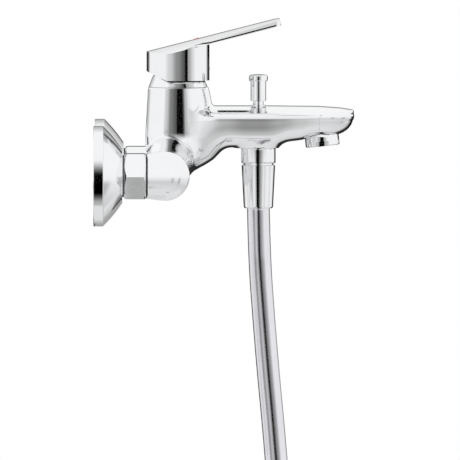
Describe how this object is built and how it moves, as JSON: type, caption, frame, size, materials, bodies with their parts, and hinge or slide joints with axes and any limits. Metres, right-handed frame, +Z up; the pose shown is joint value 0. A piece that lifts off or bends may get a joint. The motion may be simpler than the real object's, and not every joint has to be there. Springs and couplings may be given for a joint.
{
  "type": "wall mounted bath faucet",
  "caption": "Wall mounted single-lever bath and shower mixer with a flat spout, pull-up diverter, aerator and a hanging shower hose.",
  "frame": {"origin": "midpoint between the axes of the two wall threads, in the plane of the wall", "axes": "+Y into the wall, spout towards -Y; +Z up; +X towards the cold inlet, hot inlet at -X"},
  "size_m": [0.2198, 0.1974, 0.5815],
  "materials": {
    "chrome": "polished chrome plating",
    "brass": "machined",
    "steel": "satin stainless",
    "rubber": "matt black",
    "ceramic": "lapped alumina",
    "valve_plastic": "moulded acetal",
    "stop_ring_plastic": "moulded red",
    "index_mark": "red and blue enamel",
    "plug_plastic": "silver",
    "hose": "satin silver",
    "tie": "clear white strap"
  },
  "bodies": {
    "faucet": {"aerator_housing": "chrome", "aerator_insert": "valve_plastic", "aerator_screens": "steel", "aerator_washer": "rubber", "cartridge_base": "valve_plastic", "cartridge_base_seals": "rubber", "cartridge_housing": "valve_plastic", "cartridge_retaining_nut": "brass", "cold_check_housing": "valve_plastic", "cold_check_spring": "steel", "cold_escutcheon": "chrome", "cold_filter_washer": "rubber", "cold_inlet_nipple": "chrome", "cold_union_nut": "chrome", "cold_wall_union": "chrome", "diverter_bush": "chrome", "diverter_o_rings": "rubber", "diverter_spring": "steel", "dome_collar": "chrome", "fixed_ceramic_disc": "ceramic", "hose_coil": "hose", "hose_far_insert": "valve_plastic", "hose_far_nut": "chrome", "hose_far_washer": "rubber", "hose_tail": "hose", "hose_tie": "tie", "hose_upper_insert": "valve_plastic", "hose_upper_nut": "chrome", "hose_upper_washer": "rubber", "hot_check_housing": "valve_plastic", "hot_check_spring": "steel", "hot_escutcheon": "chrome", "hot_filter_washer": "rubber", "hot_inlet_nipple": "chrome", "hot_union_nut": "chrome", "hot_wall_union": "chrome", "mixer_body": "chrome", "shower_check_housing": "valve_plastic", "shower_check_spring": "steel", "shower_hose": "hose", "shower_nipple_o_ring": "rubber", "shower_outlet_nipple": "chrome"},
    "swivel": {"swivel_guide": "valve_plastic", "spindle_pin": "steel", "temperature_stop_ring": "stop_ring_plastic"},
    "lever": {"lever_handle": "chrome", "spindle": "steel", "handle_grub_screw": "steel", "handle_screw_plug": "plug_plastic", "index_button": "index_mark"},
    "disc": {"moving_ceramic_disc": "ceramic", "disc_carrier": "valve_plastic"},
    "diverter": {"diverter_knob": "chrome", "diverter_rod": "chrome", "diverter_plunger": "brass", "diverter_washers": "rubber"},
    "hot_poppet": {"hot_check_poppet": "valve_plastic"},
    "cold_poppet": {"cold_check_poppet": "valve_plastic"},
    "shower_poppet": {"shower_check_poppet": "valve_plastic"}
  },
  "joints": [
    {"name": "handle_swivel", "type": "hinge", "parent": "faucet", "child": "swivel", "pos_m": [0, -0.0585, 0.062], "axis": [0, 0, 1], "range_deg": [-50, 50]},
    {"name": "handle_lift", "type": "hinge", "parent": "swivel", "child": "lever", "pos_m": [0, -0.0585, 0.062], "axis": [-1, 0, 0], "range_deg": [0, 25]},
    {"name": "disc_slide", "type": "slide", "parent": "swivel", "child": "disc", "axis": [0, -1, 0], "range_m": [0, 0.0045]},
    {"name": "diverter_pull", "type": "slide", "parent": "faucet", "child": "diverter", "axis": [0, 0, 1], "range_m": [0, 0.008], "stiffness_N_per_m": 60, "springref_m": -0.005, "deforming": ["diverter_spring"]},
    {"name": "hot_check_slide", "type": "slide", "parent": "faucet", "child": "hot_poppet", "axis": [0, -1, 0], "range_m": [0, 0.002], "stiffness_N_per_m": 40, "springref_m": -0.004, "deforming": ["hot_check_spring"]},
    {"name": "cold_check_slide", "type": "slide", "parent": "faucet", "child": "cold_poppet", "axis": [0, -1, 0], "range_m": [0, 0.002], "stiffness_N_per_m": 40, "springref_m": -0.004, "deforming": ["cold_check_spring"]},
    {"name": "shower_check_slide", "type": "slide", "parent": "faucet", "child": "shower_poppet", "axis": [0, 0, -1], "range_m": [0, 0.002], "stiffness_N_per_m": 40, "springref_m": -0.004, "deforming": ["shower_check_spring"]}
  ],
  "couplings": [
    {"joint": "disc_slide", "follows": "handle_lift", "m_per_rad": 0.009921}
  ]
}
